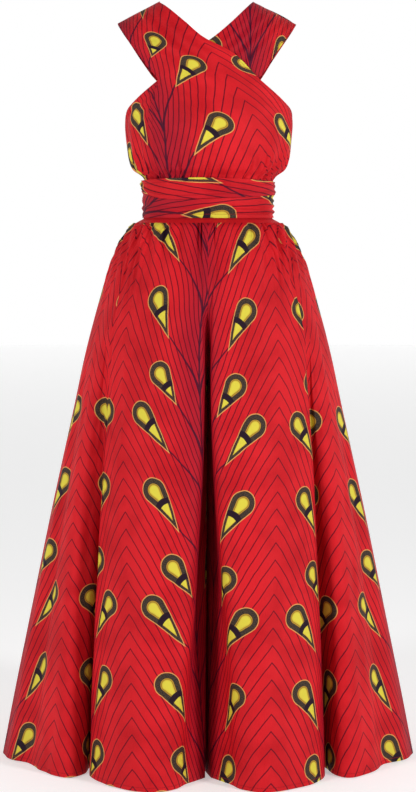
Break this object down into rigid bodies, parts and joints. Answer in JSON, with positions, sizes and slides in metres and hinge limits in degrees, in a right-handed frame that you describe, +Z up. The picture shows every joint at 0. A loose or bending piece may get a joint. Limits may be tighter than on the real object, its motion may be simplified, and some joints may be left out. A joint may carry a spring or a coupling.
{
  "type": "wide leg jumpsuit",
  "caption": "Sleeveless wide leg jumpsuit with crossed wrap straps, a wound sash and full flared legs, filled out as when worn.",
  "frame": {"origin": "middle between the wearer's shoulders, at the height of the inner end of the shoulder straps' ridges", "axes": "+Z up, -Y to the front of the garment, +X to the wearer's left"},
  "size_m": [0.782, 0.547, 1.4265],
  "materials": {
    "wax_print": "plain woven cotton with a wax print in red, dark violet, brown and yellow, a slight sheen"
  },
  "bodies": {
    "root": {"waistband": "wax_print", "sash_lower": "wax_print", "sash_upper": "wax_print", "strap_over_front": "wax_print", "strap_under_front": "wax_print", "strap_over_back": "wax_print", "strap_under_back": "wax_print", "leg_right_front": "wax_print", "leg_left_front": "wax_print", "leg_right_back": "wax_print", "leg_left_back": "wax_print"}
  },
  "joints": []
}
